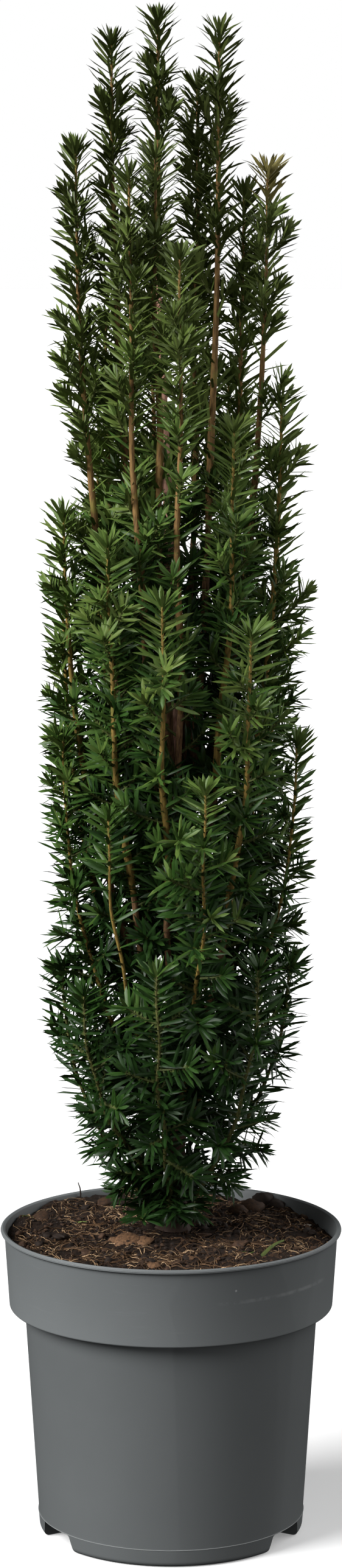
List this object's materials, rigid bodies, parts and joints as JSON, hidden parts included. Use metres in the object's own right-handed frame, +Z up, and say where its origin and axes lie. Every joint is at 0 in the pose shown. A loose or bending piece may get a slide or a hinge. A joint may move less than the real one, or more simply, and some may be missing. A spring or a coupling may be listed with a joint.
{
  "type": "potted columnar yew",
  "caption": "Columnar yew: a slim upright evergreen with steep needled shoots round a central trunk, growing in a round tapered grey plastic pot.",
  "frame": {"origin": "on the ground under the axis of the pot, level with the underside of its feet", "axes": "+Z up along the pot's axis, -Y towards the side seen in the picture, +X to the right of that view"},
  "size_m": [0.25, 0.25, 1.109],
  "materials": {
    "pot": "matte moulded grey plastic with faint scuffs",
    "soil": "moist dark peat compost with straw-coloured fibres and coir",
    "bark": "reddish-brown flaking yew bark",
    "young_bark": "orange-brown young bark, ridged and greener towards the tips",
    "needles": "leathery needles, glossy dark green low down and olive towards the tips"
  },
  "bodies": {
    "root": {"pot": "pot", "soil": "soil", "trunk": "bark", "bough_left_crest": "young_bark", "bough_right_crest": "young_bark", "bough_left_outer": "young_bark", "bough_right_outer": "young_bark", "bough_front_crest": "young_bark", "bough_back_crest": "young_bark", "bough_front_left": "young_bark", "bough_back_right": "young_bark", "bough_front_middle": "young_bark", "bough_back_left": "young_bark", "bough_right_shoulder": "young_bark", "bough_left_shoulder": "young_bark", "bough_front_left_shoulder": "young_bark", "bough_front_right_shoulder": "young_bark", "bough_front_shoulder": "young_bark", "bough_right_front_shoulder": "young_bark", "bough_rear_crest": "young_bark", "bough_rear_right": "young_bark", "bough_rear_left": "young_bark", "bough_left_rear_shoulder": "young_bark", "bough_right_rear_shoulder": "young_bark", "foliage_left_crest": "needles", "foliage_right_crest": "needles", "foliage_left_outer": "needles", "foliage_right_outer": "needles", "foliage_front_crest": "needles", "foliage_back_crest": "needles", "foliage_front_left": "needles", "foliage_back_right": "needles", "foliage_front_middle": "needles", "foliage_back_left": "needles", "foliage_right_shoulder": "needles", "foliage_left_shoulder": "needles", "foliage_front_left_shoulder": "needles", "foliage_front_right_shoulder": "needles", "foliage_front_shoulder": "needles", "foliage_right_front_shoulder": "needles", "foliage_rear_crest": "needles", "foliage_rear_right": "needles", "foliage_rear_left": "needles", "foliage_left_rear_shoulder": "needles", "foliage_right_rear_shoulder": "needles", "foliage_middle_right": "needles", "foliage_middle_left": "needles", "foliage_middle_front": "needles", "foliage_middle_front_left": "needles", "foliage_middle_rear_left": "needles", "foliage_middle_rear_right": "needles", "foliage_low_front": "needles", "foliage_low_front_right": "needles", "foliage_low_right": "needles", "foliage_low_rear": "needles", "foliage_low_rear_left": "needles", "foliage_low_left": "needles", "foliage_low_front_left": "needles", "foliage_crest": "needles"}
  },
  "joints": []
}
